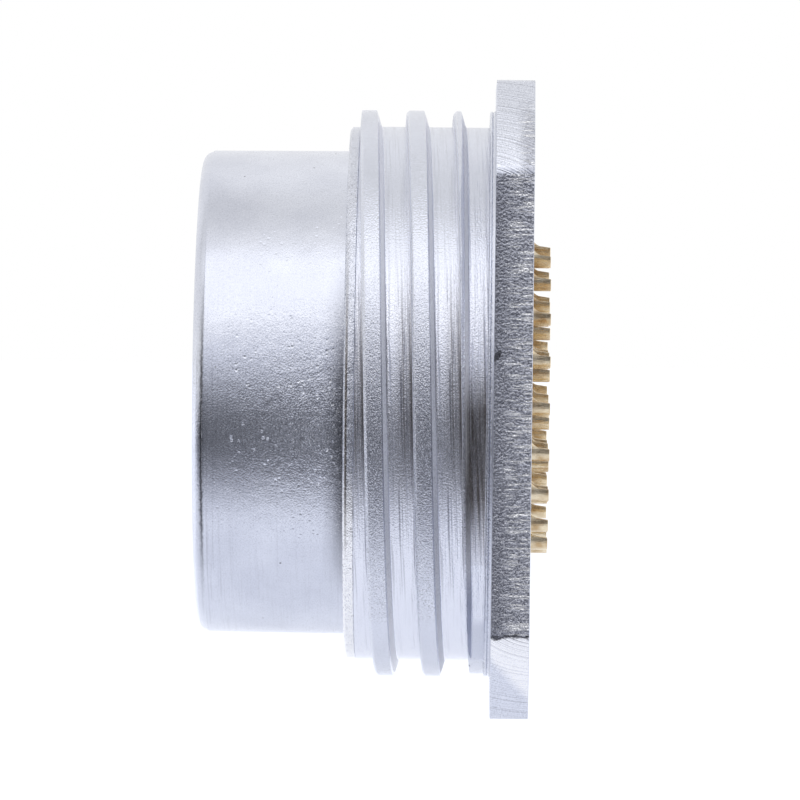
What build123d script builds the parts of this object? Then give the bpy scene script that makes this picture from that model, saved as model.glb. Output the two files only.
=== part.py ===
from build123d import *
from math import cos, radians, sin, sqrt, tan
import os

# Circular connector for a panel: a one-piece shell with a smooth mating barrel, a coarse coupling thread
# and a square flange, and inside it an insert that carries rings of contacts with solder cups.
# Millimetres. The connector's axis is X, with the mating end towards -X and the wiring end towards +X.
# The origin is the centre of the flange's rear face, which seats on the panel, and +Z is up.

# Barrel and socket
barrel_d = 41.0
barrel_len = 12.3
barrel_wall = 2.0
rim_bevel_len = 0.9  # outer bevel of the rim, along the axis
rim_bevel_drop = 1.2  # and inwards
rim_chamfer = 0.5  # inner chamfer of the rim
keyway_depth = 0.8
keyway_floor_gap = 2.0  # the keyways end this far in front of the socket's floor
main_keyway_w = 4.0
main_keyway_angle = 90.0  # from +Y towards +Z
side_keyway_w = 2.5
side_keyway_angles = (195.0, 231.0, 298.0, 326.0)

# Coupling thread, one right-hand start
thread_height = 3.5  # from the barrel out to the crests
thread_depth = 1.4
thread_pitch = 4.0
thread_len = 12.35  # from the end of the barrel to the flange
crest_w = 1.45
flank_angle = 10.0
entry_len = 0.7  # turned down in front of the first turn
entry_drop = 0.05
entry_bevel = 0.4
collar_w = 0.38  # full-diameter land beside the flange

# Run-out of the thread: the tool slows down beside the collar, rings the shell and leaves along a tangent
runout_start_angle = 160.0
runout_turn = 340.0
runout_drift = 2.3
runout_overlap = 0.24  # how far the middle of the groove ends in front of the collar

# Flange
flange_t = 3.2
flange_margin = 2.25  # from the crests out to the flats
mounting_hole_d = 3.5
mounting_hole_inset = 6.25  # from the flats to the middle of a hole
flange_corner_margin = 4.07  # from the middle of a hole to the rounded corner

# Rear bore, shoulder and groove for the retaining ring
shoulder_w = 2.0  # from the socket's wall in to the edge of the opening in its floor
shoulder_t = 2.0
seat_w = 1.5  # the insert's seat behind the shoulder
recess_depth = 6.0  # from the flange's rear face to the insert's rear face
ring_groove_depth = 1.0
rear_chamfer = 0.5

# Insert
insert_clearance = 0.2
insert_flange_t = 7.0
insert_proud = 1.5  # how far its nose stands out of the socket's floor
insert_key_w = 2.4
insert_key_h = 0.7
insert_chamfer = 0.3

# Seal on the socket's floor
seal_t = 1.0
seal_clearance = 0.15

# Retaining ring
ring_t = 1.2
ring_w = 1.9
ring_clearance = 0.1
ring_gap = 5.0
ring_ear_d = 3.4
ring_ear_hole_d = 1.2

# Contacts: rings of them, evenly spaced from the middle of the insert out to the last ring
contact_ring_counts = (1, 5, 13, 20)
contact_ring_angles = (0.0, 30.0, 18.9, 1.9)  # of each ring's first contact, from +Z towards -Y
contact_margin = 3.8  # from the edge of the insert's nose in to the last ring
contact_sides = 12  # the pins and cups are small and many, so they have this many flat sides
contact_clearance = 0.05
pin_d = 1.0
pin_len = 6.9  # beyond the insert's front face
cup_d = 2.0
cup_bore_d = 1.45
cup_depth = 2.9
cup_reach = 1.6  # beyond the flange's rear face
cup_cut_level = 0.05  # height of the cut above the contact's axis
scoop_flat = 0.6  # level stretch of the cut, at the cup's end
scoop_slope = 32.0  # angle at which the cut then runs out of the cup

# Stations along the axis, from the panel towards the mating end
flange_front_x = -flange_t
collar_front_x = flange_front_x - collar_w
thread_front_x = flange_front_x - thread_len
entry_end_x = thread_front_x + entry_len
rim_x = thread_front_x - barrel_len
insert_rear_x = -recess_depth
seat_x = insert_rear_x - insert_flange_t
socket_floor_x = seat_x - shoulder_t
insert_face_x = socket_floor_x - insert_proud
pin_tip_x = insert_face_x - pin_len

# Radii
barrel_r = barrel_d / 2
thread_r = barrel_r + thread_height
root_r = thread_r - thread_depth
entry_r = root_r - entry_drop
socket_r = barrel_r - barrel_wall
shoulder_r = socket_r - shoulder_w
rear_bore_r = shoulder_r + seat_w
insert_nose_r = shoulder_r - insert_clearance
insert_flange_r = rear_bore_r - insert_clearance
contact_circle_r = insert_nose_r - contact_margin
contact_bore_r = cup_d / 2 + contact_clearance
ring_outer_r = rear_bore_r + ring_groove_depth - ring_clearance
ring_inner_r = ring_outer_r - ring_w

# Flange, from the thread outwards
flange_side = 2 * (thread_r + flange_margin)
mounting_pitch = flange_side - 2 * mounting_hole_inset
flange_corner_r = mounting_pitch / sqrt(2) + flange_corner_margin

# Thread groove: narrow at its floor, with flanks that lean out
cut_over = 0.6  # how far a cutter passes beyond the surface that it cuts
groove_floor_half = (thread_pitch - crest_w) / 2 - thread_depth * tan(radians(flank_angle))
groove_cut_depth = thread_depth + cut_over
groove_top_half = groove_floor_half + groove_cut_depth * tan(radians(flank_angle))
groove_end_x = collar_front_x - runout_overlap
runout_start_x = groove_end_x - runout_drift
runout_pitch = runout_drift * 360 / runout_turn
groove_start_x = entry_end_x - groove_top_half
helix_turn = 360 * (runout_start_x - groove_start_x) / thread_pitch
exit_len = sqrt((thread_r + cut_over) ** 2 - root_r**2) + cut_over


def point_at(angle, radius):
    """Y and Z of a point at this angle from +Z towards -Y."""
    return -radius * sin(radians(angle)), radius * cos(radians(angle))


def radial_plane(angle, x=0.0):
    """Plane through the axis: its own x runs along the axis and its own y points outwards."""
    outwards = point_at(angle, 1)
    return Plane(origin=(x, 0, 0), x_dir=(1, 0, 0), z_dir=(0, -outwards[1], outwards[0]))


def helix_path(x, angle, pitch, turn):
    """Right-hand helix on the thread's root, from x and angle, through turn degrees."""
    start = Plane(origin=(x, 0, 0), x_dir=(0, *point_at(angle, 1)), z_dir=(1, 0, 0))
    return start.location * Helix(pitch=pitch, height=pitch * turn / 360, radius=root_r)


# Shell: the thread is cut first, then come the flange, the barrel and the bores
with BuildPart() as shell:
    with BuildSketch(Plane.XZ):
        with BuildLine():
            Polyline(
                (thread_front_x, 0),
                (thread_front_x, entry_r - entry_bevel),
                (thread_front_x + entry_bevel, entry_r),
                (entry_end_x, entry_r),
                (entry_end_x, thread_r),
                (collar_front_x, thread_r),
                (collar_front_x, 0),
                close=True,
            )
        make_face()
    revolve(axis=Axis.X)

    groove_stretches = (
        (groove_start_x, runout_start_angle - helix_turn, thread_pitch, helix_turn),
        (runout_start_x, runout_start_angle, runout_pitch, runout_turn),
        (groove_end_x, runout_start_angle + runout_turn, 0, 0),
    )
    for x, angle, pitch, turn in groove_stretches:
        with BuildSketch(radial_plane(angle, x)) as groove:
            with BuildLine():
                Polyline(
                    (-groove_floor_half, root_r),
                    (groove_floor_half, root_r),
                    (groove_top_half, root_r + groove_cut_depth),
                    (-groove_top_half, root_r + groove_cut_depth),
                    close=True,
                )
            make_face()
        if turn:
            sweep(path=helix_path(x, angle, pitch, turn), is_frenet=True, mode=Mode.SUBTRACT)
        else:
            extrude(amount=exit_len, mode=Mode.SUBTRACT)

    with BuildSketch(Plane.YZ.offset(collar_front_x)):
        Circle(thread_r)
    extrude(amount=collar_w)
    with BuildSketch(Plane.YZ.offset(flange_front_x)):
        Circle(flange_corner_r)
        Rectangle(flange_side, flange_side, mode=Mode.INTERSECT)
        with GridLocations(mounting_pitch, mounting_pitch, 2, 2):
            Circle(mounting_hole_d / 2, mode=Mode.SUBTRACT)
    extrude(amount=flange_t)

    with BuildSketch(Plane.XZ):
        with BuildLine():
            Polyline(
                (rim_x, 0),
                (rim_x, barrel_r - rim_bevel_drop),
                (rim_x + rim_bevel_len, barrel_r),
                (thread_front_x, barrel_r),
                (thread_front_x, 0),
                close=True,
            )
        make_face()
    revolve(axis=Axis.X)

    with BuildSketch(Plane.XZ):
        with BuildLine():
            Polyline(
                (rim_x - cut_over, 0),
                (rim_x - cut_over, socket_r + rim_chamfer + cut_over),
                (rim_x + rim_chamfer, socket_r),
                (socket_floor_x, socket_r),
                (socket_floor_x, shoulder_r),
                (seat_x, shoulder_r),
                (seat_x, rear_bore_r),
                (insert_rear_x, rear_bore_r),
                (insert_rear_x, rear_bore_r + ring_groove_depth),
                (insert_rear_x + ring_t + ring_clearance, rear_bore_r + ring_groove_depth),
                (insert_rear_x + ring_t + ring_clearance, rear_bore_r),
                (-rear_chamfer, rear_bore_r),
                (cut_over, rear_bore_r + rear_chamfer + cut_over),
                (cut_over, 0),
                close=True,
            )
        make_face()
    revolve(axis=Axis.X, mode=Mode.SUBTRACT)

    with BuildSketch(Plane.YZ.offset(rim_x)):
        with PolarLocations(socket_r, 1, start_angle=main_keyway_angle):
            Rectangle(2 * keyway_depth, main_keyway_w)
        for angle in side_keyway_angles:
            with PolarLocations(socket_r, 1, start_angle=angle):
                Rectangle(2 * keyway_depth, side_keyway_w)
    extrude(amount=socket_floor_x - keyway_floor_gap - rim_x, mode=Mode.SUBTRACT)

    with BuildSketch(Plane.YZ.offset(seat_x)):
        with Locations((0, rear_bore_r)):
            Rectangle(insert_key_w + 2 * insert_clearance, 2 * (insert_key_h + insert_clearance))
    extrude(amount=-seat_x, mode=Mode.SUBTRACT)

# Insert: a moulded disc with a nose that passes the shoulder, a key on top and a bore for each contact
contact_places = []
for ring, (count, first_angle) in enumerate(zip(contact_ring_counts, contact_ring_angles)):
    ring_r = contact_circle_r * ring / (len(contact_ring_counts) - 1)
    for step in range(count):
        contact_places.append(point_at(first_angle + 360 * step / count, ring_r))

with BuildPart() as insert:
    with BuildSketch(Plane.YZ.offset(seat_x)):
        Circle(insert_flange_r)
        with Locations((0, rear_bore_r)):
            Rectangle(insert_key_w, 2 * insert_key_h)
    extrude(amount=insert_flange_t)
    with BuildSketch(Plane.YZ.offset(insert_face_x)):
        Circle(insert_nose_r)
    extrude(amount=seat_x - insert_face_x)
    nose_edges = insert.edges().filter_by(GeomType.CIRCLE).group_by(Axis.X)[0]
    chamfer(nose_edges, length=insert_chamfer)
    with BuildSketch(Plane.YZ.offset(insert_face_x)):
        with Locations(*contact_places):
            RegularPolygon(radius=contact_bore_r, side_count=contact_sides)
    extrude(amount=insert_rear_x - insert_face_x, mode=Mode.SUBTRACT)

# Seal: a flat rubber washer on the socket's floor, round the insert's nose
with BuildPart() as interface_seal:
    with BuildSketch(Plane.YZ.offset(socket_floor_x)):
        Circle(socket_r - seal_clearance)
        Circle(insert_nose_r + seal_clearance, mode=Mode.SUBTRACT)
    extrude(amount=-seal_t)

# Retaining ring: an open spring ring with two pierced ears, behind the insert
ear_r = ring_inner_r - ring_ear_d / 2 + ring_w / 2
ear_y = ring_gap / 2 + ring_ear_d / 2
ear_z = -sqrt(ear_r**2 - ear_y**2)
with BuildPart() as retaining_ring:
    with BuildSketch(Plane.YZ.offset(insert_rear_x)):
        Circle(ring_outer_r)
        Circle(ring_inner_r, mode=Mode.SUBTRACT)
        with Locations((0, -ring_outer_r)):
            Rectangle(ring_gap, 2 * ring_w + ring_ear_d, mode=Mode.SUBTRACT)
        with Locations((-ear_y, ear_z), (ear_y, ear_z)):
            Circle(ring_ear_d / 2)
            Circle(ring_ear_hole_d / 2, mode=Mode.SUBTRACT)
    extrude(amount=ring_t)


def make_contact(place):
    """A contact: a pin in front, and behind it a solder cup cut open upwards."""
    y, z = place
    with BuildPart() as contact:
        with BuildSketch(Plane.YZ.offset(pin_tip_x)):
            with Locations(place):
                RegularPolygon(radius=pin_d / 2, side_count=contact_sides)
        extrude(amount=pin_len)
        with BuildSketch(Plane.YZ.offset(insert_face_x)):
            with Locations(place):
                RegularPolygon(radius=cup_d / 2, side_count=contact_sides)
        extrude(amount=cup_reach - insert_face_x)
        with BuildSketch(Plane.YZ.offset(cup_reach)):
            with Locations(place):
                RegularPolygon(radius=cup_bore_d / 2, side_count=contact_sides)
        extrude(amount=-cup_depth, mode=Mode.SUBTRACT)
        scoop_x = cup_reach - scoop_flat
        scoop_rise = cup_d / 2 + cut_over - cup_cut_level
        scoop_top_x = scoop_x - scoop_rise / tan(radians(scoop_slope))
        with BuildSketch(Plane(origin=(0, y, z), x_dir=(1, 0, 0), z_dir=(0, -1, 0))):
            with BuildLine():
                Polyline(
                    (scoop_x, cup_cut_level),
                    (cup_reach + cut_over, cup_cut_level),
                    (cup_reach + cut_over, cup_cut_level + scoop_rise),
                    (scoop_top_x, cup_cut_level + scoop_rise),
                    close=True,
                )
            make_face()
        extrude(amount=cup_d, both=True, mode=Mode.SUBTRACT)
    return contact.part


os.makedirs("parts", exist_ok=True)
shell.part.label = "shell"
export_step(shell.part, "parts/shell.step")
insert.part.label = "insert"
export_step(insert.part, "parts/insert.step")
interface_seal.part.label = "interface_seal"
export_step(interface_seal.part, "parts/interface_seal.step")
retaining_ring.part.label = "retaining_ring"
export_step(retaining_ring.part, "parts/retaining_ring.step")
for number, place in enumerate(contact_places, start=1):
    contact_part = make_contact(place)
    contact_part.label = f"contact_{number:02d}"
    export_step(contact_part, f"parts/contact_{number:02d}.step")
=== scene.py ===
import math
from functools import partial
import bmesh
import bpy
import numpy as np
from mathutils import Matrix, Vector


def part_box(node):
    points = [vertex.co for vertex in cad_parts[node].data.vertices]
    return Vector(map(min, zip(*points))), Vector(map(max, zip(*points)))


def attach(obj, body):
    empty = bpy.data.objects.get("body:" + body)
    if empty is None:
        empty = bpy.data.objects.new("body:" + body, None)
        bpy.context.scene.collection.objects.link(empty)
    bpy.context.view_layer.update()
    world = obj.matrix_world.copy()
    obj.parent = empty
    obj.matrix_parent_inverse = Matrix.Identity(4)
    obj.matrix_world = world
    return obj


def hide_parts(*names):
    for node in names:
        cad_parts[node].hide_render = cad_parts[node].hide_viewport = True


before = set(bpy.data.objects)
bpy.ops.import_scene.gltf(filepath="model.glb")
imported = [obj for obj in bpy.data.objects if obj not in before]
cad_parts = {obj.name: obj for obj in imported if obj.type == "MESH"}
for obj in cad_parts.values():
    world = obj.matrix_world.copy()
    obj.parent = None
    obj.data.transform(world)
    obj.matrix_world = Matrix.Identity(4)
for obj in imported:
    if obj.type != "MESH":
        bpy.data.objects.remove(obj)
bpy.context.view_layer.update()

# Circular connector receptacle: die-cast and turned shell, moulded insert, gold plated solder cups
# millimetres are turned to metres once, when a mesh is made; the axis is X, the mating end is towards -X
mm = 0.001
print("frame loaded:", len(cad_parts), "nodes")


def toLinear(hexCode):  # sRGB hex -> linear RGBA
    parts = [int(hexCode[i:i + 2], 16) / 255 for i in (1, 3, 5)]
    return [c / 12.92 if c <= 0.04045 else ((c + 0.055) / 1.055) ** 2.4 for c in parts] + [1.0]


def addNode(tree, kind, links=None, **settings):
    # one node with its settings; links gives each input a node, a socket or a plain value, by name or
    # number, or as a list in the node's own order (a map range: value, from min and max, to min and max);
    # each finish calls it as add, with its own tree filled in
    node = tree.nodes.new("ShaderNode" + kind)
    for name, value in settings.items():
        setattr(node, name, value)
    for key, value in links.items() if isinstance(links, dict) else enumerate(links or []):
        if isinstance(value, bpy.types.Node):
            value = next(socket for socket in value.outputs if socket.enabled)
        if isinstance(value, bpy.types.NodeSocket):
            tree.links.new(value, node.inputs[key])
        else:
            node.inputs[key].default_value = value
    return node


def emptyMaterial(name):
    material = bpy.data.materials.new(name)
    material.use_nodes = True
    material.node_tree.nodes.clear()
    return material, material.node_tree


def newMaterial(name, metallic, roughness):
    # an object's finish: its shader, and Object coordinates turned to mm
    material, tree = emptyMaterial(name)
    shader = addNode(tree, "BsdfPrincipled", {"Metallic": metallic, "Roughness": roughness})
    addNode(tree, "OutputMaterial", {"Surface": shader})
    where = addNode(tree, "VectorMath", [addNode(tree, "TexCoord").outputs["Object"], (1000, 1000, 1000)],
                    operation="MULTIPLY")
    return material, tree, shader, where


def applyFinish(c, tree, shader, base, paints, bumps):
    # paints are laid over the base one after another, each a share and a colour of the settings or a node;
    # bumps are stacked, each a height, a strength and a depth in mm, which cuts in where it is negative
    tone = toLinear(c[base])
    for share, paint in paints:
        paint = toLinear(c[paint]) if isinstance(paint, str) else paint
        tone = addNode(tree, "Mix", {"Factor": share, 6: tone, 7: paint}, data_type="RGBA")
    tree.links.new(tone.outputs[2], shader.inputs["Base Color"])
    under = {}
    for height, strength, depth in bumps:
        bump = addNode(tree, "Bump", {"Height": height, "Strength": strength, "Distance": abs(depth) * mm,
                                      **under}, invert=depth < 0)
        under = {"Normal": bump}
    tree.links.new(bump.outputs[0], shader.inputs["Normal"])


def rampStops(node, stops):
    # each stop is its place and its linear colour
    ramp = node.color_ramp
    while len(ramp.elements) < len(stops):
        ramp.elements.new(0.5)
    for element, (place, colour) in zip(ramp.elements, stops):
        element.position = place
        element.color = [*colour, 1.0]


def newObject(name, data):
    obj = bpy.data.objects.new(name, data)
    bpy.context.scene.collection.objects.link(obj)
    return obj


# Camera: the photograph looks square on to the side, a touch from above and from behind the flange
camera = {
    "distance": 540.0,  # mm
    "aim": (-11.02, 0.0, -0.59),  # mm, the middle of the picture
    "yaw": 0.7, "rise": 1.5, "roll": 0.66,  # degrees
    "mmAcross": 68.0,  # width of the picture at the axis
    "sensor": 36.0,
}


def placeCamera(c):
    # stands back from the aim, turned by yaw and raised by rise; lens = sensor * distance / width
    data = bpy.data.cameras.new("sideView")
    data.sensor_width = c["sensor"]
    data.lens = c["sensor"] * c["distance"] / c["mmAcross"]
    data.clip_start, data.clip_end = 0.01, 20.0
    obj = newObject("sideView", data)
    yaw, rise, roll = (math.radians(c[k]) for k in ("yaw", "rise", "roll"))
    back = Vector((math.sin(yaw) * math.cos(rise), -math.cos(yaw) * math.cos(rise), math.sin(rise)))
    right = Vector((math.cos(yaw), math.sin(yaw), 0.0))
    up = back.cross(right)
    right, up = right * math.cos(roll) + up * math.sin(roll), up * math.cos(roll) - right * math.sin(roll)
    turn = Matrix((right, up, back)).transposed().to_4x4()
    obj.matrix_world = Matrix.Translation((Vector(c["aim"]) + back * c["distance"]) * mm) @ turn
    bpy.context.scene.camera = obj


placeCamera(camera)

# Studio: a white tent with a soft box high in front, a grey scrim overhead and a dark cloth round the lens
studio = {
    "floorZ": -60.0, "floorHalf": 3000.0, "floorPaint": "#F4F5F8", "floorGlow": 0.35,
    "floorMirrorGlow": (0.21, 0.5), "floorMirrorReach": (55.0, 150.0),
    "tent": "#E9ECF4", "tentLevel": 0.95,
    "scrim": (-80.0, 260.0, 700.0), "scrimHalf": 900.0, "scrimLevel": 0.84,
    "boxPlace": (0.0, -452.0, 579.0), "boxSize": (900.0, 500.0), "boxPower": 0.65, "boxColour": "#F6F8FF",
    "clothHalf": 380.0, "clothProfile": ((-575, 300), (-575, -40), (-560, -54), (-46, -57)),  # y, z
    # how light the cloth looks from the object, by elevation in degrees
    "clothLevels": ((26, 1.0), (19, 0.95), (12, 0.72), (6, 0.5), (0, 0.33), (-6, 0.21), (-14, 0.15),
                    (-22, 0.15), (-29, 0.22), (-36, 0.46), (-43, 0.75), (-51, 0.98)),
    "clothTint": "#F1F4FF",
}


def stageSheet(name, points, material, inMetalOnly=False):
    # a flat or folded sheet, as a strip of quads between pairs of points
    mesh = bpy.data.meshes.new(name)
    faces = [(i, i + 1, i + 3, i + 2) for i in range(0, len(points) - 2, 2)]
    mesh.from_pydata((np.array(points) * mm).tolist(), [], faces)
    mesh.materials.append(material)
    obj = newObject(name, mesh)
    if inMetalOnly:
        obj.visible_camera = obj.visible_diffuse = obj.visible_shadow = False


def softBox(name, s):
    # a large rectangle of light that faces the middle
    data = bpy.data.lights.new(name, "AREA")
    data.shape = "RECTANGLE"
    data.size, data.size_y = (v * mm for v in s["boxSize"])
    data.energy = s["boxPower"]
    data.color = toLinear(s["boxColour"])[:3]
    obj = newObject(name, data)
    place = Vector(s["boxPlace"]) * mm
    obj.matrix_world = Matrix.Translation(place) @ place.to_track_quat("Z", "Y").to_matrix().to_4x4()


def rayKinds(tree):
    # 1 for rays from the camera; 1 for mirrored or refracted ones
    path = addNode(tree, "LightPath")
    mirrored = addNode(tree, "Math", [path.outputs["Is Glossy Ray"], path.outputs["Is Transmission Ray"]],
                       operation="MAXIMUM")
    return path.outputs["Is Camera Ray"], mirrored


def whiteTent(s):
    # white for the lens and in reflections, a cooler tent for the rest
    world = bpy.data.worlds.new("tent")
    bpy.context.scene.world = world
    world.use_nodes = True
    tree = world.node_tree
    tree.nodes.clear()
    add = partial(addNode, tree)
    direct, mirrored = rayKinds(tree)
    seen = add("Math", [direct, mirrored], operation="MAXIMUM")
    white = add("Background", {"Color": (1, 1, 1, 1), "Strength": 1.0})
    tent = add("Background", {"Color": toLinear(s["tent"]), "Strength": s["tentLevel"]})
    mix = add("MixShader", [seen, tent, white])
    add("OutputWorld", {"Surface": mix})


def whiteFloor(s):
    # pale paint that keeps the shadow, lifted to white for the lens; mirrored, it glows more farther away
    material, tree = emptyMaterial("whiteFloorPaint")
    add = partial(addNode, tree)
    direct, mirrored = rayKinds(tree)
    place = add("TexCoord").outputs["Object"]
    away = add("VectorMath", [place, (0, 0, s["floorZ"] * mm)], operation="DISTANCE")
    near, far = s["floorMirrorReach"]
    farther = add("MapRange", [away.outputs["Value"], near * mm, far * mm, *s["floorMirrorGlow"]])
    lifted = add("Math", [mirrored, farther], operation="MULTIPLY")
    glow = add("Math", [direct, s["floorGlow"], lifted], operation="MULTIPLY_ADD")
    light = add("Emission", {"Color": (1, 1, 1, 1), "Strength": glow})
    paint = add("BsdfDiffuse", {"Color": toLinear(s["floorPaint"])})
    both = add("AddShader", [paint, light])
    add("OutputMaterial", {"Surface": both})
    half, z = s["floorHalf"], s["floorZ"]
    stageSheet("floor", [(x, y, z) for y in (-half, half) for x in (-half, half)], material)


def darkCloth(s):
    # a dark cloth that hangs round the lens and lies towards the object, seen only in the metal;
    # its light falls off with the elevation, atan(z / -y), from which it is seen
    material, tree = emptyMaterial("darkCloth")
    add = partial(addNode, tree)
    place = add("SeparateXYZ", [add("TexCoord").outputs["Object"]])
    away = add("Math", [place.outputs["Y"], -1.0], operation="MULTIPLY")
    elevation = add("Math", [place.outputs["Z"], away], operation="ARCTAN2")
    low, high = s["clothLevels"][-1][0], s["clothLevels"][0][0]
    share = add("MapRange", [elevation, math.radians(low), math.radians(high)])
    ramp = add("ValToRGB", {"Fac": share})
    tint = toLinear(s["clothTint"])
    rampStops(ramp, [((e - low) / (high - low), [v * level for v in tint[:3]])
                     for e, level in reversed(s["clothLevels"])])
    add("OutputMaterial", {"Surface": add("Emission", {"Color": ramp})})
    half = s["clothHalf"]
    points = [(x, y, z) for y, z in s["clothProfile"] for x in (-half, half)]
    stageSheet("darkCloth", points, material, inMetalOnly=True)


def greyScrim(s):
    # a strip of grey cloth overhead, seen only in the metal as a soft darker band
    material, tree = emptyMaterial("greyScrim")
    light = addNode(tree, "Emission", {"Color": (1, 1, 1, 1), "Strength": s["scrimLevel"]})
    addNode(tree, "OutputMaterial", {"Surface": light})
    y0, y1, z = s["scrim"]
    half = s["scrimHalf"]
    points = [(x, y, z) for y in (y0, y1) for x in (-half, half)]
    stageSheet("greyScrim", points, material, inMetalOnly=True)


whiteTent(studio)
whiteFloor(studio)
darkCloth(studio)
greyScrim(studio)
softBox("softBoxFront", studio)
print("camera and studio placed")


# Shell, one turned body of which every ring of points runs round the axis at the same angles
# sizes in mm, as in the frame
shell = {
    "rimX": -27.85, "barrelR": 20.5, "rimChamfer": 0.5, "barrelDraft": 0.08,
    # the rim's round, which ends in a small step: distance from the rim, and how far under the barrel
    "rimProfile": ((0.0, 1.0), (0.04, 0.77), (0.12, 0.57), (0.24, 0.4), (0.38, 0.27), (0.53, 0.18),
                   (0.68, 0.12), (0.82, 0.08), (0.85, 0.07), (0.89, 0.01), (0.95, 0.0)),
    "threadFront": -15.4, "entryEnd": -14.48, "entryBevel": 0.22,
    "rootR": 22.6, "crestR": 24.0, "entryR": 22.55, "pitch": 4.0,
    # groove: half width at the crests and of the floor in front, the steep wall behind and its bevel
    "crestHalf": 1.275, "floorHalf": 0.86, "steepRun": 0.05, "edgeBevel": 0.2,
    "rootRound": 0.09, "edgeRound": 0.03,
    # distances from the groove's centre at which the thread has its points
    "across": (-2.2, -1.6, -1.36, -1.31, -1.28, -1.25, -1.2, -1.1, -1.0, -0.93, -0.88, -0.84, -0.78, -0.65,
               -0.3, 0.3, 0.9, 1.17, 1.21, 1.23, 1.25, 1.27, 1.3, 1.35, 1.4, 1.45, 1.48, 1.52, 1.7, 2.2),
    "runoutX": -6.2, "runoutAngle": 160.0, "runoutTurn": 340.0, "runoutDrift": 2.3,
    "collarFront": -3.66, "flangeFront": -3.14,
    "lastLand": (-6.0, -5.6, 0.25),  # the land before the collar is this much lower
    "flangeHalf": 26.25, "cornerR": 32.354, "cornerRound": 0.16, "flangeEdge": 0.04,
    "holeAt": 20.0, "holeR": 1.75,
    "rearBoreR": 18.0, "shoulderR": 16.5, "socketR": 18.5, "keyDepth": 0.8, "keyEnd": -17.0,
    "keys": ((90.0, 4.0), (195.0, 2.5), (231.0, 2.5), (298.0, 2.5), (326.0, 2.5)),
    "seatX": -13.0, "socketFloor": -15.0, "grooveX": (-6.0, -4.7), "grooveDepth": 1.0, "rearChamfer": 0.5,
    "slotHalf": 1.4, "slotR": 18.9, "stepFillet": 0.06, "collarBevel": 0.16,
    "collarLine": (-3.42, 0.09, 0.11),
    "turns": 360,
}


def bodyAngles(s):
    # angles from +Z towards -Y, evenly spaced, with more of them at each hole, keyway and corner
    angles = list(np.linspace(0, 360, s["turns"], endpoint=False))
    holeReach = math.degrees(math.asin(s["holeR"] / (s["holeAt"] * math.sqrt(2))))
    for corner in (45, 135, 225, 315):
        angles += list(corner + holeReach * np.sin(np.linspace(-math.pi / 2, math.pi / 2, 25)))
    tangent = math.degrees(math.acos(s["flangeHalf"] / s["cornerR"]))
    for side in (0, 90, 180, 270):
        for end in (side - tangent, side + tangent):
            angles += list(end + np.linspace(-2.4, 2.4, 17))
    for place, width in s["keys"]:
        middle = place - 90  # from +Y towards +Z, to from +Z towards -Y
        reach = math.degrees(math.atan(width / 2 / (s["socketR"] + s["keyDepth"])))
        angles += [middle - reach - 0.05, middle - reach, middle + reach, middle + reach + 0.05]
    reach = math.degrees(math.atan(s["slotHalf"] / s["slotR"]))
    angles += [-reach - 0.05, -reach, reach, reach + 0.05]
    angles = np.sort(np.mod(np.array(angles), 360))
    keep = np.append(np.diff(angles) > 0.02, True)
    return angles[keep]


def grooveCentre(turn, s):
    # centre of the thread's groove against the unwound angle: the full lead, then the slow run-out
    run = np.clip(turn - s["runoutAngle"], 0, s["runoutTurn"])
    full = np.minimum(turn - s["runoutAngle"], 0)
    return s["runoutX"] + s["pitch"] * full / 360 + s["runoutDrift"] * run / s["runoutTurn"]


def grooveRadius(u, s):
    # radius against the distance u from the groove's centre: a sloping flank in front with a round foot,
    # a flat floor, a steep wall behind with a 45 degree bevel on the next crest
    depth = s["crestR"] - s["rootR"]
    front = s["rootR"] + (-u - s["floorHalf"]) * depth / (s["crestHalf"] - s["floorHalf"])
    wall = s["rootR"] + (u - s["crestHalf"] + s["steepRun"]) * depth / s["steepRun"]
    bevel = s["crestR"] - s["edgeBevel"] + u - s["crestHalf"]
    raw = np.where(u < 0, front, np.minimum(wall, bevel))
    soft = np.where(u < 0, s["rootRound"], s["edgeRound"])
    low = np.logaddexp(raw / soft, s["rootR"] / soft) * soft
    soft = s["edgeRound"]
    return -np.logaddexp(-low / soft, -s["crestR"] / soft) * soft


def exitRadius(turn, s):
    # past the run-out the cutter goes straight on, so the floor rises as 1/cos of the angle
    past = np.radians(np.clip(turn - s["runoutAngle"] - s["runoutTurn"], 0, 60))
    return s["rootR"] / np.cos(past)


def threadPoints(angles, s):
    # the thread as one strip that winds round the shell: u runs across the groove, the turn along it;
    # neighbouring turns share the line half way between them, and the ends are cut off square
    u = np.array(s["across"])[:, None]
    turns = angles + 360 * np.arange(-3, 3)[:, None]
    turn = turns.reshape(1, -1)
    runoutEnd = s["runoutAngle"] + 360

    def centre(t):  # past the run-out the empty groove slides back to the full lead, to keep the grid even
        slide = np.clip((t - runoutEnd) / 20, 0, 1)
        gone = grooveCentre(t - 360, s) + s["pitch"]
        return np.where(t > runoutEnd, grooveCentre(t, s) * (1 - slide) + gone * slide, grooveCentre(t, s))

    def radius(t, x):
        cut = grooveRadius(x - centre(t), s) + exitRadius(t, s) - s["rootR"]
        return np.where(t > runoutEnd, s["crestR"], np.minimum(cut, s["crestR"]))

    middle = centre(turn)
    low = np.clip((centre(turn - 360) + middle) / 2, s["entryEnd"], s["collarFront"])
    high = np.clip((centre(turn + 360) + middle) / 2, s["entryEnd"], s["collarFront"])
    x = np.clip(middle + u, low, high)
    r = np.minimum(np.minimum(radius(turn - 360, x), radius(turn, x)), radius(turn + 360, x))
    start, full, drop = s["lastLand"]
    r = np.minimum(r, s["crestR"] - drop * np.clip((x - start) / (full - start), 0, 1))
    ends = [np.min(radius(turns, edge), axis=0) for edge in (s["entryEnd"], s["collarFront"])]
    return turn[0], x, r, ends


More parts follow.
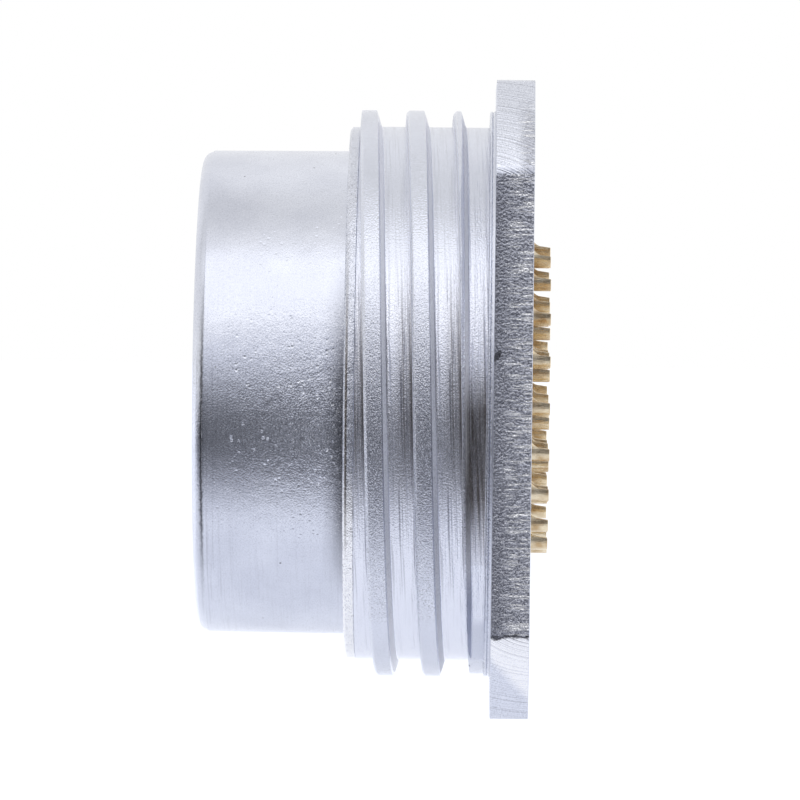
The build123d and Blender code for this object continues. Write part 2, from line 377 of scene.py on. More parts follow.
def arcRows(corner, radius, start, end, steps):
    # a quarter round in the profile: (x, r) points on a circle about the given centre
    a = np.radians(np.linspace(start, end, steps))
    return [(corner[0] + radius * math.cos(v), corner[1] + radius * math.sin(v)) for v in a]


def shellRows(angles, s, ends):
    # the closed profile of the body as rings; a ring is x and r for every angle, and the name of its finish
    n = len(angles)
    a = np.radians(angles)
    flat = np.maximum(np.abs(np.sin(a)), np.abs(np.cos(a)))
    soft = s["cornerRound"]  # the flats and the corner arcs meet in a round, by a soft minimum
    outline = -np.logaddexp(-s["flangeHalf"] / flat / soft, -s["cornerR"] / soft) * soft
    reach = s["holeAt"] * math.sqrt(2)
    off = np.abs(np.mod(angles, 90) - 45)
    chord = np.sqrt(np.maximum(s["holeR"] ** 2 - (reach * np.sin(np.radians(off))) ** 2, 0))
    inHole = off <= math.degrees(math.asin(s["holeR"] / reach)) + 1e-6
    tangent = math.sqrt(reach ** 2 - s["holeR"] ** 2)
    split = s["crestR"] + (tangent - s["crestR"]) * (outline - s["crestR"]) / (s["cornerR"] - s["crestR"])
    near = np.where(inHole, reach * np.cos(np.radians(off)) - chord, split)
    far = np.where(inHole, reach * np.cos(np.radians(off)) + chord, split)

    keyed = np.full(n, s["socketR"])
    for place, width in s["keys"]:
        turned = np.radians(angles - (place - 90))
        floor = (s["socketR"] + s["keyDepth"]) / np.cos(turned)
        inside = (np.cos(turned) > 0) & (np.abs(floor * np.sin(turned)) <= width / 2 + 1e-3)
        keyed = np.where(inside, floor, keyed)
    slotted = np.where((np.cos(a) > 0) & (np.abs(np.tan(a)) * s["slotR"] <= s["slotHalf"] + 1e-3),
                       s["slotR"] / np.maximum(np.cos(a), 0.1), 0)

    def ring(x, r, finish):
        return np.full(n, x, float), np.broadcast_to(np.asarray(r, float), (n,)), finish

    bore, e = np.maximum(s["rearBoreR"], slotted), s["flangeEdge"]
    g0, g1 = s["grooveX"]
    grooveR = np.maximum(s["rearBoreR"] + s["grooveDepth"], slotted)
    rows = [ring(x, r, "bore") for x, r in (
        (0, near), (0, np.maximum(s["rearBoreR"] + s["rearChamfer"], slotted)), (-s["rearChamfer"], bore),
        (g1, bore), (g1, grooveR), (g0, grooveR), (g0, bore), (s["seatX"], bore),
        (s["seatX"], s["shoulderR"]), (s["socketFloor"], s["shoulderR"]), (s["socketFloor"], s["socketR"]),
        (s["keyEnd"], s["socketR"]), (s["keyEnd"], keyed), (s["rimX"] + s["rimChamfer"], keyed))]
    rows.append(ring(s["rimX"], np.maximum(keyed, s["socketR"] + s["rimChamfer"]), "barrel"))
    for x, under in s["rimProfile"]:
        rows.append(ring(s["rimX"] + x, s["barrelR"] - s["barrelDraft"] - under, "barrel"))
    f = s["stepFillet"]
    rows.append(ring((s["rimX"] + s["threadFront"]) / 2, s["barrelR"] - s["barrelDraft"] / 2, "barrel"))
    for x, r in arcRows((s["threadFront"] - f, s["barrelR"] + f), f, 270, 360, 5):
        rows.append(ring(x, r, "barrel"))
    b, r = s["entryBevel"], s["entryR"]
    rows += [ring(s["threadFront"] + along, r - under, "entry")
             for along, under in ((0, b), (0.03, b - 0.05), (b - 0.05, 0.03), (b, 0))]
    rows += [ring(s["entryEnd"] - 0.08, r, "entry"), ring(s["entryEnd"] - 0.02, r - 0.07, "entry"),
             ring(s["entryEnd"], r - 0.07, "thread"), ring(s["entryEnd"], ends[0], "thread")]
    stripAt = len(rows)
    c, collar, front, crestR = s["collarBevel"], s["collarFront"], s["flangeFront"], s["crestR"]
    lineX, lineHalf, lineDepth = s["collarLine"]
    rows += [ring(x, r, "collar") for x, r in (
        (collar, ends[1]), (collar, np.maximum(ends[1], crestR - c)), (collar + c - 0.06, crestR - 0.02),
        (lineX - lineHalf / 2, crestR), (lineX, crestR - lineDepth), (lineX + lineHalf * 2, crestR))]
    rows += [ring(front, crestR, "flange"), ring(front, near, "flange")]
    gapAt = len(rows)
    rows += [ring(front, far, "flange"), ring(front, outline - e, "flange"),
             ring(front + e, outline, "edge"), ring(front / 2, outline, "edge"), ring(-e, outline, "edge"),
             ring(0, outline - e, "flange"), ring(0, far, "flange")]
    return rows, stripAt, gapAt, inHole


def quadGrid(rows, columns, start, closed):
    # quads between neighbouring rows and columns, wound so that they face away from the axis
    across = np.arange(columns if closed else columns - 1)
    i, j = np.meshgrid(np.arange(rows - 1), across, indexing="ij")
    k = (j + 1) % columns
    return np.stack([i * columns + j, i * columns + k, (i + 1) * columns + k, (i + 1) * columns + j],
                    axis=-1).reshape(-1, 4) + start


def onCylinder(x, r, angles):
    # y = -r sin(angle), z = r cos(angle), the angle from +Z towards -Y
    a = np.radians(angles)
    x = np.broadcast_to(x, np.broadcast(x, a).shape)
    return np.stack([x, -r * np.sin(a), r * np.cos(a)], axis=-1).reshape(-1, 3)


def meshFrom(name, points, faces, finishes=None, materials=(), sharp=34, weld=0.0015):
    # one numpy array of points in mm and one of quads become a mesh; doubles are welded
    mesh = bpy.data.meshes.new(name)
    mesh.vertices.add(len(points))
    mesh.vertices.foreach_set("co", (points * mm).astype(np.float32).ravel())
    mesh.loops.add(faces.size)
    mesh.loops.foreach_set("vertex_index", faces.astype(np.int32).ravel())
    mesh.polygons.add(len(faces))
    mesh.polygons.foreach_set("loop_start", np.arange(0, faces.size, 4, dtype=np.int32))
    mesh.polygons.foreach_set("loop_total", np.full(len(faces), 4, dtype=np.int32))
    for material in materials:
        mesh.materials.append(material)
    if finishes is not None:
        mesh.polygons.foreach_set("material_index", finishes.astype(np.int32))
    mesh.update()
    work = bmesh.new()
    work.from_mesh(mesh)
    bmesh.ops.remove_doubles(work, verts=work.verts, dist=weld * mm)
    work.to_mesh(mesh)
    work.free()
    mesh.validate()
    mesh.shade_smooth()
    mesh.set_sharp_from_angle(angle=math.radians(sharp))
    obj = newObject(name, mesh)
    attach(obj, "root")
    return obj


def buildShell(s, finishMaterials):
    # neighbouring rings joined, but for the thread's strip and the flange's holes, which get walls between
    # the near and far edges of its two faces
    angles = bodyAngles(s)
    n = len(angles)
    turn, sx, sr, ends = threadPoints(angles, s)
    rows, stripAt, gapAt, inHole = shellRows(angles, s, ends)
    names = list(finishMaterials)
    x, r = (np.array([row[k] for row in rows]) for k in (0, 1))
    points = [onCylinder(x, r, angles[None, :])]
    rowFinish = np.array([names.index(row[2]) for row in rows])

    def ringIndex(i):
        return np.arange(n) + i * n

    def between(lower, upper, finish, columns=slice(None)):
        j = np.arange(n)[columns]
        k = (j + 1) % n
        quads = np.stack([lower[j], lower[k], upper[k], upper[j]], axis=-1)
        return quads, np.full(len(quads), finish)

    faces, finishes = [], []

    def add(pair):
        faces.append(pair[0])
        finishes.append(pair[1])

    for i in range(1, len(rows)):
        if i not in (stripAt, gapAt):
            add(between(ringIndex(i - 1), ringIndex(i), rowFinish[i]))
    hole = inHole & np.roll(inHole, -1)
    frontNear, frontFar, rearNear, rearFar = gapAt - 1, gapAt, 0, len(rows) - 1
    add(between(ringIndex(frontNear), ringIndex(rearNear), names.index("bore"), hole))
    add(between(ringIndex(rearFar), ringIndex(frontFar), names.index("bore"), hole))
    start = len(points[0])
    points.append(onCylinder(sx, sr, turn[None, :]))
    strip = quadGrid(*sx.shape, start, False)
    faces.append(strip)
    finishes.append(np.full(len(strip), names.index("thread")))
    obj = meshFrom("shellBody", np.concatenate(points), np.concatenate(faces), np.concatenate(finishes),
                   list(finishMaterials.values()))
    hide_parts("shell")
    return obj


# Finishes of the shell: zinc alloy, die cast, part turned, then tumbled and satin plated
alloy = {
    # the darkest grey paints the barrel's painted shade and the edge's burr
    "light": "#DFE2EC", "mid": "#D3D6E1", "dull": "#8F919C", "shadeAndBurrDark": "#4A4B51", "pit": "#5C5D64",
    # the brown grey paints the painted shade in the thread's grooves and beside the collar
    "brownShade": "#6B6663", "fresh": "#FAFAFC", "flangeTone": "#C6C8D2", "floorTone": "#E9EBF4",
    "flankTone": "#FAFAFD", "flankDim": "#DADCE4",
    "barrelRough": 0.25, "crestRough": 0.22, "flankRough": 0.42, "floorRough": 0.26, "flangeRough": 0.26,
    "boreRough": 0.34, "flankMetal": 0.05,
    # grains, gaps and depths in mm
    "peelGrain": 0.145, "peelDepth": 0.044,  # the orange peel of the tumbled skin
    "speckGrain": (0.1, 0.15, 0.15), "speckDepth": 0.035,  # pores and burnished tips
    "lumpGrain": 0.9, "lumpDepth": 0.05, "cloudGrain": 5.0, "barrelCloudGrain": 6.0, "edgeCloudGrain": 1.2,
    "skinFrom": 1.0, "skinTo": 3.0,  # the skin grows rougher from behind the rim to before the thread
    "lineGap": 0.17, "lineLength": 9.0,  # tool lines round the axis, drawn three times coarser than real
    "turnedDepth": 0.13, "facedDepth": 0.03,  # of those lines, on the thread's floors and on the flange
    "rimLines": (1.5, 4.0),  # they fade between these distances from the rim
    "dentGap": 0.55, "dentDepth": 0.07, "dentPatch": 2.5,  # knocks from the tumbling
    "pitGap": 1.5, "pitDepth": 0.06, "pitShare": 0.14, "pitReach": (0.11, 0.14),  # single pits
    "gritGrain": (0.22, 0.2, 0.2), "gritDepth": 0.15, "tornGrain": 0.6,  # the torn skin of the edge
    "scoreGrain": (1.9, 0.14, 0.14), "scoreDepth": 0.1,  # its score marks
    "millGap": 0.17, "millDepth": 0.06, "millCentres": ((-4.6, 27.0, 13.0), (1.1, 27.0, -14.0)),
    "cornerFrom": (18.85, 19.5),  # where the flange's corners start, above and below, before the noise
    "burrReach": (0.06, 0.2), "teethUpTo": (22.5, 25.0), "freshFrom": (-24.2, -23.2),
    "nick": (-2.9, -26.25, 3.7), "nickSize": (0.34, 0.5, 0.75), "nickLean": 34.0, "nickEdge": (1.02, 1.16),
    "underCrest": (0.36, 0.27), "overRoot": (0.03, 0.15),  # where a flank ends
    "entryLine": 0.24, "entryLineReach": (0.06, 0.13),  # behind the thread's front, and its width
    "frayGrain": 0.35, "shadeShift": 0.22,  # the noise that frays the barrel's painted shade
    # painted shade along the barrel: distance from the rim in mm, and its share
    "barrelShade": ((0.3, 0.0), (0.45, 0.12), (0.62, 0.3), (0.72, 0.7), (0.78, 1.0), (0.84, 0.95),
                    (0.93, 0.3), (1.0, 0.0), (10.7, 0.0), (11.5, 0.3), (12.0, 0.62), (12.3, 0.78)),
    # painted shade across the groove: distance from its centre in mm, and its share
    "grooveShade": ((-0.9, 0.0), (-0.3, 0.0), (0.2, 0.25), (0.47, 0.35), (0.53, 0.9), (0.6, 0.3),
                    (0.95, 0.45), (1.2, 0.95), (1.28, 0.0)),
    # heights between which a mark comes, is full and goes again
    "shadeZ": (-17.0, -10.0, 2.0, 11.0), "floorShadeZ": (-9.0, -2.0, 2.0, 11.0),
    "lineZ": (-18.0, -8.0, 3.0, 12.0), "stepLineZ": (-14.0, -7.0, 2.0, 13.0),
    "poreZ": (-19.0, -17.8, 3.0, 12.0), "peelZ": (-13.0, -4.0, 0.0, 9.0), "brownShadeZ": (-14.5, -8.0, -1.0, 3.0),
    "palerZ": (6.0, 12.0), "rubbedZ": (-9.0, -5.5), "floorPoreZ": (-10.0, -5.0), "leavingZ": (-17.0, -14.0),
    "leavingX": (-5.7, -5.5), "brownShadeX": (-5.7, -5.2), "brownShadeY": -18.0, "dimX": (-6.5, -6.0),
}


def heightBand(add, z, heights):
    # 1 between the inner two heights, falling to 0 at the outer two
    low, lowFull, highFull, high = heights
    rising = add("MapRange", [z, low, lowFull])
    return add("MapRange", [z, highFull, high, rising, 0.0])


def addSpecks(c, add, where, amount):
    # pores hold grime, and tips are burnished and carry painted glints: with a fine noise n, darker by
    # amount * (0.5 - n) / 0.3 and brighter by amount * (n - 0.56) / 0.2; gives the noise and the two paints
    stretched = add("VectorMath", [where, [1 / v for v in c["speckGrain"]]], operation="MULTIPLY")
    specks = add("TexNoise", {"Vector": stretched, "Scale": 1.0, "Detail": 2.0, "Roughness": 0.6})
    dark = add("MapRange", [specks, 0.2, 0.5, amount, 0.0])
    bright = add("MapRange", [specks, 0.56, 0.76, 0.0, amount])
    return specks, [(dark, "pit"), (bright, "fresh")]


def castBarrel(c, s):
    # a tumbled casting: pale, satin, with an orange peel that grows towards the thread, faint tool lines,
    # clearest near the rim, painted shade in the step behind the rim's round and before the thread,
    # a few pits
    material, tree, shader, where = newMaterial("tumbledDieCastZinc", 1.0, c["barrelRough"])
    add = partial(addNode, tree)
    x, y, z = add("SeparateXYZ", [where]).outputs
    clouds, grain, peel, lumps, patches = (
        add("TexNoise", {"Vector": where, "Scale": 1 / c[size], "Detail": detail})
        for size, detail in (("barrelCloudGrain", 3.0), ("frayGrain", 3.0), ("peelGrain", 1.0),
                             ("lumpGrain", 1.0), ("dentPatch", 1.0)))
    cloudy = add("MapRange", [clouds, 0.35, 0.65])
    finer = [1 / c[k] for k in ("lineGap", "lineLength", "lineLength")]
    stretched = add("VectorMath", [where, finer], operation="MULTIPLY")
    lines = add("TexNoise", {"Vector": stretched, "Scale": 1.0, "Detail": 3.0, "Roughness": 0.6})
    near, far = (s["rimX"] + v for v in c["rimLines"])
    rimwards = add("MapRange", [x, near, far, 0.35, 0.14])
    lower = add("MapRange", [z, 3.0, 11.0, rimwards, 0.03])
    drawn = add("MapRange", [lines, 0.5, 0.75, 0.0, lower])
    # painted shade by distance from the rim, its edge shifted a little by a fine noise
    shifted = add("Math", [grain, c["shadeShift"], x], operation="MULTIPLY_ADD")
    half = c["shadeShift"] / 2
    along = add("MapRange", [shifted, s["rimX"] + half, s["threadFront"] + half])
    band = add("ValToRGB", {"Fac": along})
    length = s["threadFront"] - s["rimX"]
    rampStops(band, [(d / length, [share] * 3) for d, share in c["barrelShade"]])
    paintedShade = add("Math", [band, heightBand(add, z, c["shadeZ"])], operation="MULTIPLY")
    # a pit in a few of the cells, ragged by the same noise
    cells = add("TexVoronoi", {"Vector": where, "Scale": 1 / c["pitGap"]})
    lot = add("TexWhiteNoise", {"Vector": cells.outputs["Position"]})
    rare = add("Math", [lot, 1 - c["pitShare"]], operation="GREATER_THAN")
    ragged = add("Math", [grain, 0.16, cells.outputs["Distance"]], operation="MULTIPLY_ADD")
    pit = add("MapRange", [ragged, *c["pitReach"], rare, 0.0])
    heights = heightBand(add, z, c["peelZ"])
    fromRim, toThread = s["rimX"] + c["skinFrom"], s["threadFront"] - c["skinTo"]
    threadwards = add("MapRange", [x, fromRim, toThread, 0.4, 0.8])
    amount = add("MapRange", [heights, 0.0, 1.0, 0.2, threadwards])
    specks, specked = addSpecks(c, add, where, amount)
    # the peel, over softer lumps, with knocks in patches
    growing = add("MapRange", [x, fromRim, toThread, 0.32, 1.0])
    higher = add("MapRange", [heights, 0.0, 1.0, 0.35, 1.15])
    growing = add("Math", [growing, higher], operation="MULTIPLY")
    knocks = add("TexVoronoi", {"Vector": where, "Scale": 1 / c["dentGap"]})
    knocked = add("MapRange", [patches, 0.48, 0.62, 0.0, -1.0])
    dent = add("MapRange", [knocks.outputs["Distance"], 0.05, 0.3, knocked, 0.0],
               interpolation_type="SMOOTHSTEP")
    applyFinish(c, tree, shader, "light",
                [(cloudy, "mid"), (drawn, "dull"), (paintedShade, "shadeAndBurrDark"), (pit, "pit"), *specked],
                [(lumps, growing, c["lumpDepth"]), (peel, growing, c["peelDepth"]),
                 (dent, growing, c["dentDepth"]), (specks, amount, c["speckDepth"]),
                 (pit, 1.0, -c["pitDepth"])])
    return material


def turnedThread(c, s):
    # turned and tumbled: crests pitted, floors smooth with short tool lines that wind with the thread, by
    # h = x + pitch * turn, wrapped round a circle of one pitch so that they meet behind; flanks matt;
    # painted shade on crests and flanks at the middle heights, against the steep wall, in a thin line on
    # the entry and in a brown band beside the collar
    material, tree, shader, where = newMaterial("turnedZincThread", 1.0, c["crestRough"])
    add = partial(addNode, tree)
    x, y, z = add("SeparateXYZ", [where]).outputs
    back = add("Math", [y, -1.0], operation="MULTIPLY")
    angle = add("Math", [z, back], operation="ARCTAN2")
    wound = add("Math", [x, 2 * math.pi / s["pitch"], angle], operation="MULTIPLY_ADD")
    reach = s["pitch"] / (2 * math.pi * c["lineGap"])
    waves = [add("Math", [wound], operation=wave) for wave in ("COSINE", "SINE")]
    across, along = (add("Math", [wave, reach], operation="MULTIPLY") for wave in waves)
    yLong, zLong = (add("Math", [axis, 1 / c["lineLength"]], operation="MULTIPLY") for axis in (y, z))
    lines = add("TexNoise", {"Vector": add("CombineXYZ", [across, along, yLong]),
                             "W": zLong, "Scale": 1.0, "Detail": 1.5}, noise_dimensions="4D")
    # what is entry, crest, floor or flank, by place and radius
    radius = add("VectorMath", [add("CombineXYZ", {1: y, 2: z})], operation="LENGTH")
    radius = radius.outputs["Value"]
    inEntry = add("MapRange", [x, s["entryEnd"] - 0.05, s["entryEnd"], 1.0, 0.0])
    crest = add("MapRange", [radius, *(s["crestR"] - v for v in c["underCrest"])])
    crest = add("Math", [crest, inEntry], operation="MAXIMUM")
    root = add("MapRange", [inEntry, 0.0, 1.0, 1.0, 0.05])
    floor = add("MapRange", [radius, *(s["rootR"] + v for v in c["overRoot"]), root, 0.05])
    off = add("MapRange", [floor, 0.05, 1.0, 1.0, 0.0])
    # the exit of the run-out, low beside the collar, keeps the floor's finish while it rises
    leaving = add("MapRange", [z, *c["leavingZ"], 0.0, off])
    off = add("MapRange", [x, *c["leavingX"], off, leaving])
    matt = add("MapRange", [crest, 0.0, 1.0, off, 0.0])
    metal = add("MapRange", [matt, 0.0, 1.0, 1.0, c["flankMetal"]])
    tree.links.new(metal.outputs[0], shader.inputs["Metallic"])
    flank = add("MapRange", [floor, 0.05, 1.0, c["flankRough"], c["floorRough"]])
    rough = add("MapRange", [crest, 0.0, 1.0, flank, c["crestRough"]])
    tree.links.new(rough.outputs[0], shader.inputs["Roughness"])
    clouds, peel, lumps = (
        add("TexNoise", {"Vector": where, "Scale": 1 / c[size], "Detail": detail})
        for size, detail in (("cloudGrain", 3.0), ("peelGrain", 1.0), ("lumpGrain", 1.0)))
    heights = heightBand(add, z, c["shadeZ"])
    # the crests are painted darker at the middle heights: painted shade
    shade = add("Math", [heights, crest], operation="MULTIPLY")
    shade = add("Math", [shade, 0.3], operation="MULTIPLY")
    paler = add("MapRange", [z, *c["palerZ"], floor, 0.0])
    # the flanks of the full turns are painted dimmer at the middle heights: painted shade
    flankShade = add("MapRange", [x, *c["dimX"], heights, 0.0])
    tones = {6: toLinear(c["flankTone"]), 7: toLinear(c["flankDim"])}
    dim = add("Mix", {"Factor": flankShade, **tones}, data_type="RGBA")
    linesHere = heightBand(add, z, c["lineZ"])
    drawn = add("MapRange", [lines, 0.53, 0.64, 0.0, floor])
    clear = add("MapRange", [linesHere, 0.0, 1.0, 0.12, 0.85])
    drawn = add("Math", [drawn, clear], operation="MULTIPLY")
    # painted shade across the groove: the winding angle, counted in pitches from the groove's centre
    zero = s["runoutX"] - s["pitch"] * (s["runoutAngle"] - 90) / 360
    pitches = add("Math", [wound, 1 / (2 * math.pi), 0.5 - zero / s["pitch"]], operation="MULTIPLY_ADD")
    band = add("ValToRGB", {"Fac": add("Math", [pitches], operation="FRACT")})
    rampStops(band, [(0.5 + d / s["pitch"], [v] * 3) for d, v in c["grooveShade"]])
    paintedShade = add("Math", [band, heightBand(add, z, c["floorShadeZ"])], operation="MULTIPLY")
    paintedShade = add("MapRange", [crest, 0.0, 1.0, paintedShade, 0.0])
    behindEntry = add("Math", [x, s["entryEnd"]], operation="GREATER_THAN")
    paintedShade = add("Math", [paintedShade, behindEntry], operation="MULTIPLY")
    # the entry is rubbed bright low down; a thin line of painted shade lies behind its bevel
    rubbed = add("MapRange", [z, *c["rubbedZ"], inEntry, 0.0])
    lineAt = add("Math", [x, s["threadFront"] + c["entryLine"]], operation="SUBTRACT")
    lineAt = add("Math", [lineAt], operation="ABSOLUTE")
    line = heightBand(add, z, c["stepLineZ"])
    line = add("MapRange", [lineAt, *c["entryLineReach"], line, 0.0])
    paintedShade = add("Math", [paintedShade, line], operation="MAXIMUM")
    # a brown painted shade beside the collar, on the near side only, broken up by the lines
    collarwards = add("MapRange", [x, *c["brownShadeX"], 0.0, 0.97])
    before = add("Math", [x, s["collarFront"] - 0.06], operation="LESS_THAN")
    near = add("Math", [y, c["brownShadeY"]], operation="LESS_THAN")
    streaky = add("MapRange", [lines, 0.38, 0.56, 0.7, 1.0])
    brownShade = heightBand(add, z, c["brownShadeZ"])
    for share in (near, collarwards, before, streaky):
        brownShade = add("Math", [brownShade, share], operation="MULTIPLY")
    # pores and tips with painted glints, most of them at the middle heights and on the entry, fewer on the
    # floors
    least = add("MapRange", [inEntry, 0.0, 1.0, 0.15, 0.6])
    most = add("MapRange", [inEntry, 0.0, 1.0, 0.75, 0.8])
    amount = add("MapRange", [heightBand(add, z, c["poreZ"]), 0.0, 1.0, least, most])
    onFloors = add("MapRange", [z, *c["floorPoreZ"], 0.15, 0.6])
    onFloors = add("Math", [amount, onFloors], operation="MULTIPLY")
    amount = add("MapRange", [floor, 0.0, 1.0, amount, onFloors])
    specks, specked = addSpecks(c, add, where, amount)
    pitted = add("Math", [floor, 0.7], operation="MULTIPLY")
    pitted = add("MapRange", [crest, 0.0, 1.0, pitted, 1.0])
    rougher = add("MapRange", [inEntry, 0.0, 1.0, 0.12, 1.0])
    cut = add("MapRange", [linesHere, 0.0, 1.0, 0.3, 1.0])
    cut = add("Math", [cut, floor], operation="MULTIPLY")
    applyFinish(c, tree, shader, "light",
                [(clouds, "mid"), (shade, "dull"), (paler, "floorTone"), (matt, dim),
                 (drawn, "dull"), (rubbed, "fresh"), (paintedShade, "brownShade"), (brownShade, "brownShade"),
                 *specked],
                [(lumps, rougher, c["lumpDepth"] * 2.5), (peel, pitted, c["peelDepth"] * 1.2),
                 (specks, amount, c["speckDepth"] * 2), (lines, cut, c["turnedDepth"])])
    return material


def facedFlange(c):
    # faced in a lathe: even satin, with fine rings round the axis by radius
    material, tree, shader, where = newMaterial("facedZincFlange", 1.0, c["boreRough"])
    add = partial(addNode, tree)
    x, y, z = add("SeparateXYZ", [where]).outputs
    radius = add("VectorMath", [add("CombineXYZ", {1: y, 2: z})], operation="LENGTH")
    finer = [1 / c[k] for k in ("lineGap", "lineGap", "lineLength")]
    rings = add("CombineXYZ", [radius.outputs["Value"], x, z])
    rings = add("VectorMath", [rings, finer], operation="MULTIPLY")
    lines = add("TexNoise", {"Vector": rings, "Scale": 1.0, "Detail": 3.0, "Roughness": 0.6})
    clouds = add("TexNoise", {"Vector": where, "Scale": 1 / c["cloudGrain"], "Detail": 3.0})
    drawn = add("MapRange", [lines, 0.45, 0.8, 0.0, 0.45])
    peel = add("TexNoise", {"Vector": where, "Scale": 1 / c["peelGrain"], "Detail": 1.5})
    applyFinish(c, tree, shader, "light", [(clouds, "mid"), (drawn, "dull")],
                [(peel, 0.4, c["peelDepth"]), (lines, 1.0, c["facedDepth"])])
    return material


def milledEdge(c, s):
    # the flange's edge, torn by a blunt cutter: dull and gritty, darkest along the front, thin ragged score
    # marks along the axis that brighten towards the rear; the corners were milled after and are brighter,
    # with fine arcs
    material, tree, shader, where = newMaterial("milledZincEdge", 1.0, c["flangeRough"])
    add = partial(addNode, tree)
    x, y, z = add("SeparateXYZ", [where]).outputs
    low = add("Math", [z, 0.0], operation="LESS_THAN")
    above = add("Math", [z, 0.0], operation="GREATER_THAN")
    stretched = add("VectorMath", [where, [1 / v for v in c["gritGrain"]]], operation="MULTIPLY")
    grit = add("TexNoise", {"Vector": stretched, "Scale": 1.0, "Detail": 2.0})
    stretched = add("VectorMath", [where, [1 / v for v in c["scoreGrain"]]], operation="MULTIPLY")
    scores = add("TexNoise", {"Vector": stretched, "Scale": 1.0, "Detail": 1.0})
    scores = add("MapRange", [scores, 0.56, 0.61])
    # a corner starts, raggedly, where both the height and the depth pass cornerFrom
    apart = add("SeparateXYZ", [add("VectorMath", [where], operation="ABSOLUTE")])
    inner = add("Math", [apart.outputs["Y"], apart.outputs["Z"]], operation="MINIMUM")
    torn = add("TexNoise", {"Vector": where, "Scale": 1 / c["tornGrain"], "Detail": 3.0})
    ragged = add("Math", [torn, 0.9, inner], operation="MULTIPLY_ADD")
    beside = add("MapRange", [z, -21.5, -21.0, 0.0, low])
    start = add("MapRange", [beside, 0.0, 1.0, *c["cornerFrom"]])
    ragged = add("Math", [ragged, start], operation="SUBTRACT")
    corner = add("MapRange", [ragged, -0.06, 0.06])
    flat = add("Math", [1.0, corner], operation="SUBTRACT")
    # mill marks: rings about a point, before the flange for the upper corners, behind it for the lower ones
    upper, lower = c["millCentres"]
    folded = add("CombineXYZ", [x, apart.outputs["Y"], z])
    middle = add("Mix", {"Factor": low, 4: upper, 5: lower}, data_type="VECTOR")
    ring = add("VectorMath", [folded, middle], operation="DISTANCE").outputs["Value"]
    ring = add("Math", [ring, 1 / c["millGap"]], operation="MULTIPLY")
    arcs = add("TexNoise", {"W": ring, "Scale": 1.0, "Detail": 2.0}, noise_dimensions="1D")
    # on the flats: dull by the grit and by the distance to the front
    clouds = add("TexNoise", {"Vector": where, "Scale": 1 / c["edgeCloudGrain"], "Detail": 3.0})
    wavy = add("Math", [clouds, 0.9, x], operation="MULTIPLY_ADD")
    frontwards = add("MapRange", [wavy, s["flangeFront"] + 0.3, 0.0, 0.95, 0.05])
    dulled = add("MapRange", [grit, 0.36, 0.54, 1.0, frontwards])
    dulled = add("Math", [dulled, flat], operation="MULTIPLY")
    # the fresh cut low on the corners: above a slanting ragged line, z + 1.1 x = -24.3
    slant = add("Math", [x, 1.1, z], operation="MULTIPLY_ADD")
    slant = add("Math", [clouds, 1.2, slant], operation="MULTIPLY_ADD")
    fresh = add("MapRange", [slant, *c["freshFrom"]])
    for share in (low, corner):
        fresh = add("Math", [fresh, share], operation="MULTIPLY")
    # score marks on the flats; they reach round the upper corners along the rear edge
    rearwards = add("MapRange", [wavy, s["flangeFront"] + 1.2, -0.8, 0.03, 1.0])
    teeth = add("MapRange", [wavy, -1.2, -0.2, 0.0, 0.8])
    teeth = add("MapRange", [z, *c["teethUpTo"], teeth, 0.0])
    teeth = add("Math", [teeth, above], operation="MULTIPLY")
    scored = add("Math", [rearwards, flat], operation="MULTIPLY")
    scored = add("Math", [scored, teeth], operation="MAXIMUM")
    bright = add("Math", [scores, scored], operation="MULTIPLY")
    gaps = add("MapRange", [scores, 0.0, 0.4, 0.6, 0.0])
    for share in (teeth, corner):
        gaps = add("Math", [gaps, share], operation="MULTIPLY")
    milled = add("MapRange", [arcs, 0.5, 0.72, 0.0, 0.3])
    milled = add("Math", [milled, corner], operation="MULTIPLY")
    speckled = add("MapRange", [flat, 0.0, 1.0, 0.5, 0.7])
    speckled = add("MapRange", [fresh, 0.0, 1.0, speckled, 0.25])
    specked = addSpecks(c, add, where, speckled)[1]
    # a ragged burr line above the lower corners, and one nick in the front edge, an oblong hollow
    burr = add("Math", [ragged], operation="ABSOLUTE")
    burr = add("MapRange", [burr, *c["burrReach"], 0.9, 0.0])
    burr = add("Math", [burr, beside], operation="MULTIPLY")
    fromNick = add("Mapping", {"Vector": where, "Location": c["nick"], "Scale": c["nickSize"],
                               "Rotation": (0, math.radians(c["nickLean"]), 0)},
                   vector_type="TEXTURE")
    fromNick = add("VectorMath", [fromNick], operation="LENGTH").outputs["Value"]
    nick = add("Math", [grit, 0.8, fromNick], operation="MULTIPLY_ADD")
    nick = add("MapRange", [nick, *c["nickEdge"], 0.9, 0.0])
    burr = add("Math", [burr, nick], operation="MAXIMUM")
    gritty = add("MapRange", [flat, 0.0, 1.0, 0.08, 1.0])
    marked = add("Math", [corner, 0.8], operation="MULTIPLY")
    applyFinish(c, tree, shader, "light",
                [(flat, "flangeTone"), (fresh, "fresh"), (dulled, "dull"), (gaps, "dull"),
                 (bright, "fresh"), (milled, "dull"), *specked, (burr, "shadeAndBurrDark")],
                [(grit, gritty, c["gritDepth"]), (scores, scored, c["scoreDepth"]),
                 (arcs, marked, c["millDepth"])])
    return material


barrelFinish = castBarrel(alloy, shell)
threadFinish = turnedThread(alloy, shell)
facedFinish = facedFlange(alloy)
finishes = {"bore": facedFinish, "barrel": barrelFinish, "entry": threadFinish, "thread": threadFinish,
            "collar": threadFinish, "flange": facedFinish, "edge": milledEdge(alloy, shell)}
shellBody = buildShell(shell, finishes)
print("shell:", len(shellBody.data.polygons), "faces")

# Contacts: a pin in front, a solder cup cut open upwards behind
contact = {
    "pinR": 0.5, "pinTip": -23.4, "pinRound": 0.22, "bodyFront": -16.5, "bodyR": 1.0, "cupEnd": 1.6,
    "cupBoreR": 0.725, "cupFloor": -1.3, "cutLevel": 0.05, "flat": 0.5, "scoopR": 1.2, "lip": 0.03,
    "turns": 40,
    "gold": "#F3E3C2", "goldDark": "#C9AD84", "rough": 0.24,
    "lineGrain": (0.9, 0.1, 0.1), "lineDepth": 0.05,
}


